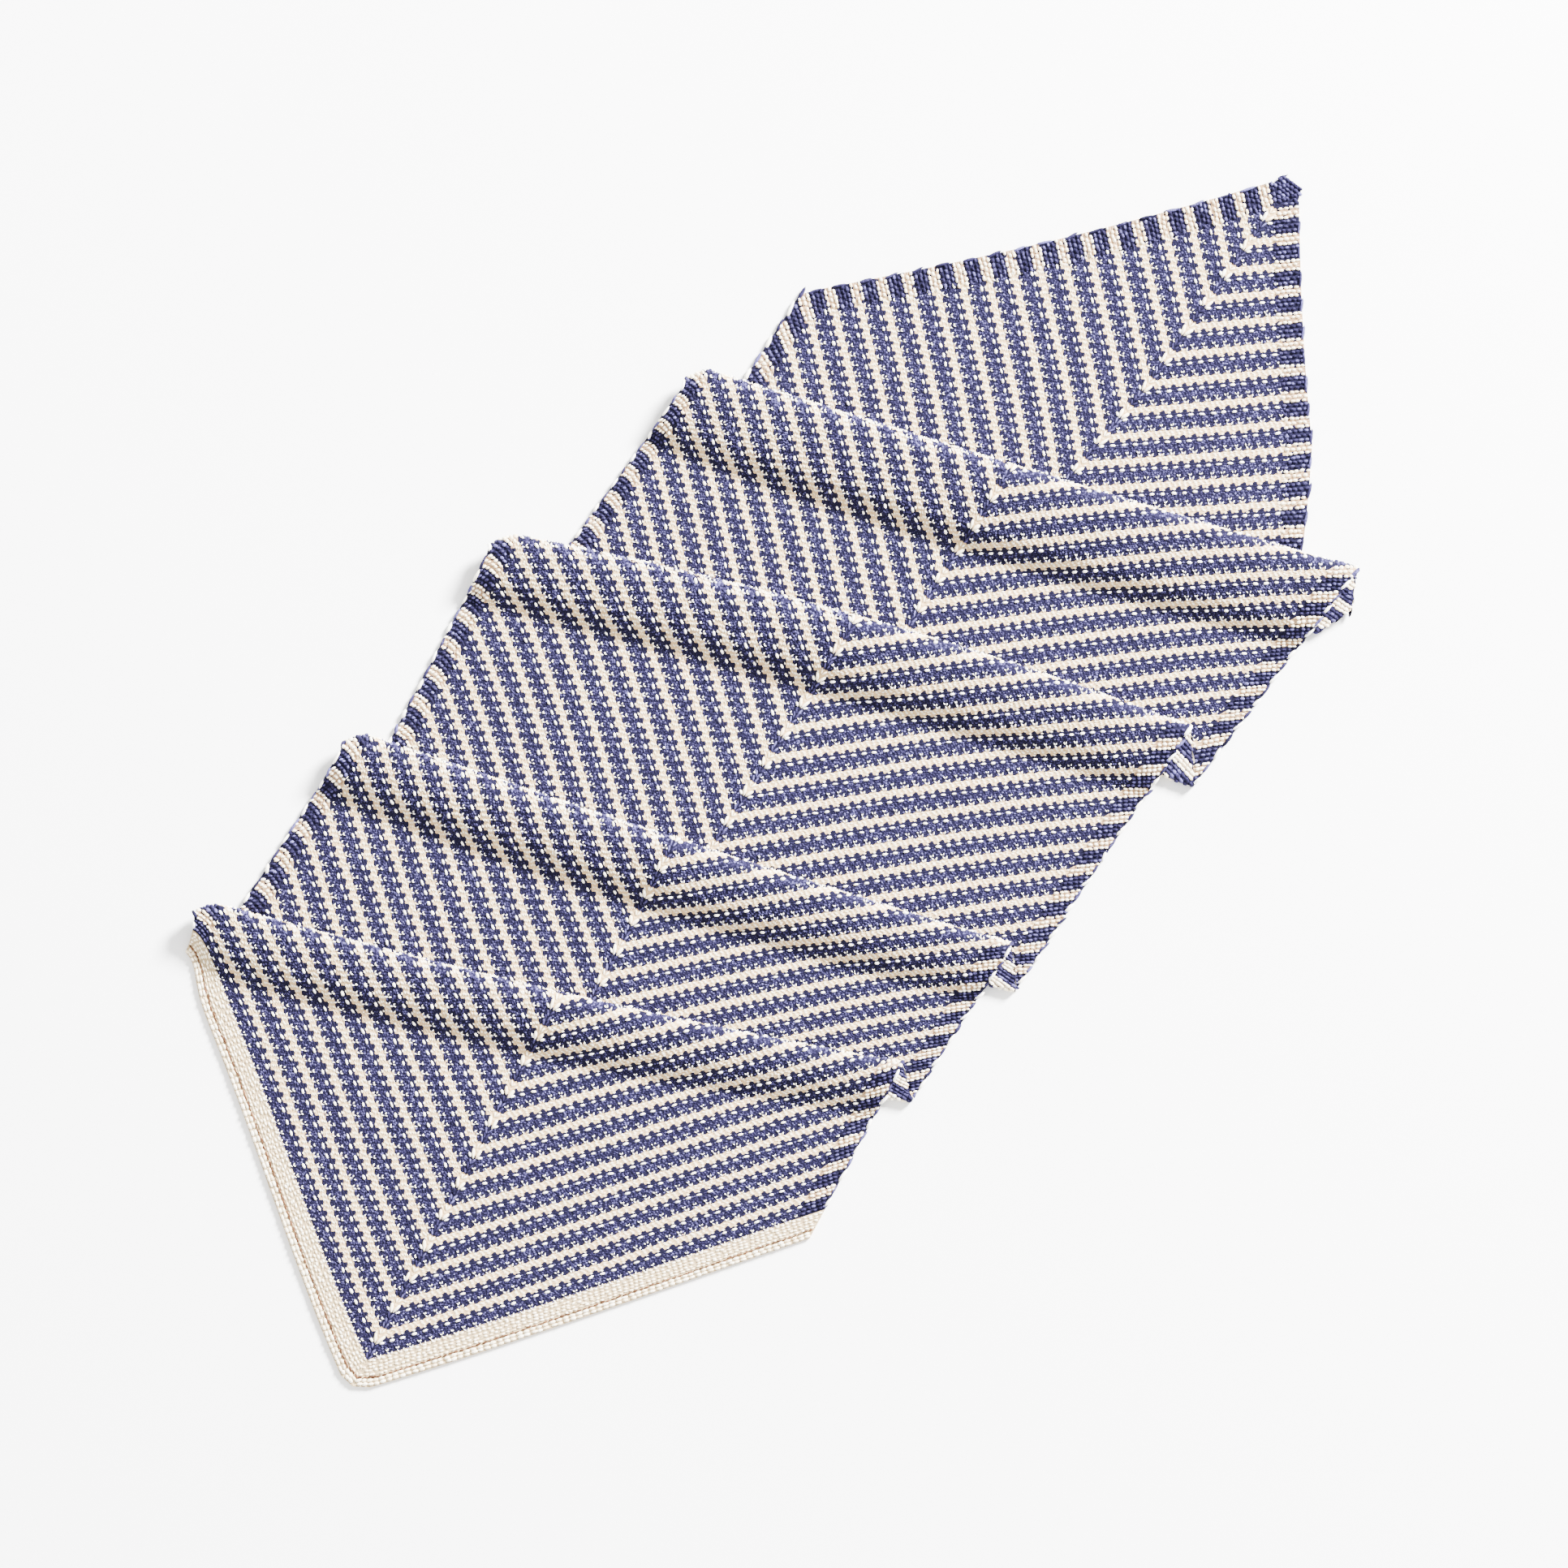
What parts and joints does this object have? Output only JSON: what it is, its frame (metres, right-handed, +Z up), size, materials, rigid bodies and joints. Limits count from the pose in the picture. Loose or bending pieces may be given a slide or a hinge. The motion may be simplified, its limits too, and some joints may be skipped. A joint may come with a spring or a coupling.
{
  "type": "knitted wrap",
  "caption": "Knitted cotton wrap in cream and denim blue chevron stripes, laid flat in soft pleats.",
  "frame": {"origin": "middle of the laid cloth, on the surface that it lies on", "axes": "+Y along the cloth towards its corner tip, +Z up from the surface, +X across the cloth to the right"},
  "size_m": [0.6474, 1.3576, 0.0279],
  "materials": {
    "chevron_knit": "matte",
    "spine_stitch": "matte",
    "striped_garter": "matte",
    "cream_garter": "matte",
    "blue_garter": "matte"
  },
  "bodies": {
    "root": {"tip_tab": "blue_garter", "centre_spine_1": "spine_stitch", "left_wing_1": "chevron_knit", "right_wing_1": "chevron_knit", "left_selvedge_1": "striped_garter", "right_selvedge_1": "striped_garter", "centre_spine_2": "spine_stitch", "left_wing_2": "chevron_knit", "right_wing_2": "chevron_knit", "left_selvedge_2": "striped_garter", "right_selvedge_2": "striped_garter", "centre_spine_3": "spine_stitch", "left_wing_3": "chevron_knit", "right_wing_3": "chevron_knit", "left_selvedge_3": "striped_garter", "right_selvedge_3": "striped_garter", "centre_spine_4": "spine_stitch", "left_wing_4": "chevron_knit", "right_wing_4": "chevron_knit", "left_selvedge_4": "striped_garter", "right_selvedge_4": "striped_garter", "centre_spine_5": "spine_stitch", "left_wing_5": "chevron_knit", "right_wing_5": "chevron_knit", "left_selvedge_5": "striped_garter", "right_selvedge_5": "striped_garter", "end_border": "cream_garter"}
  },
  "joints": []
}
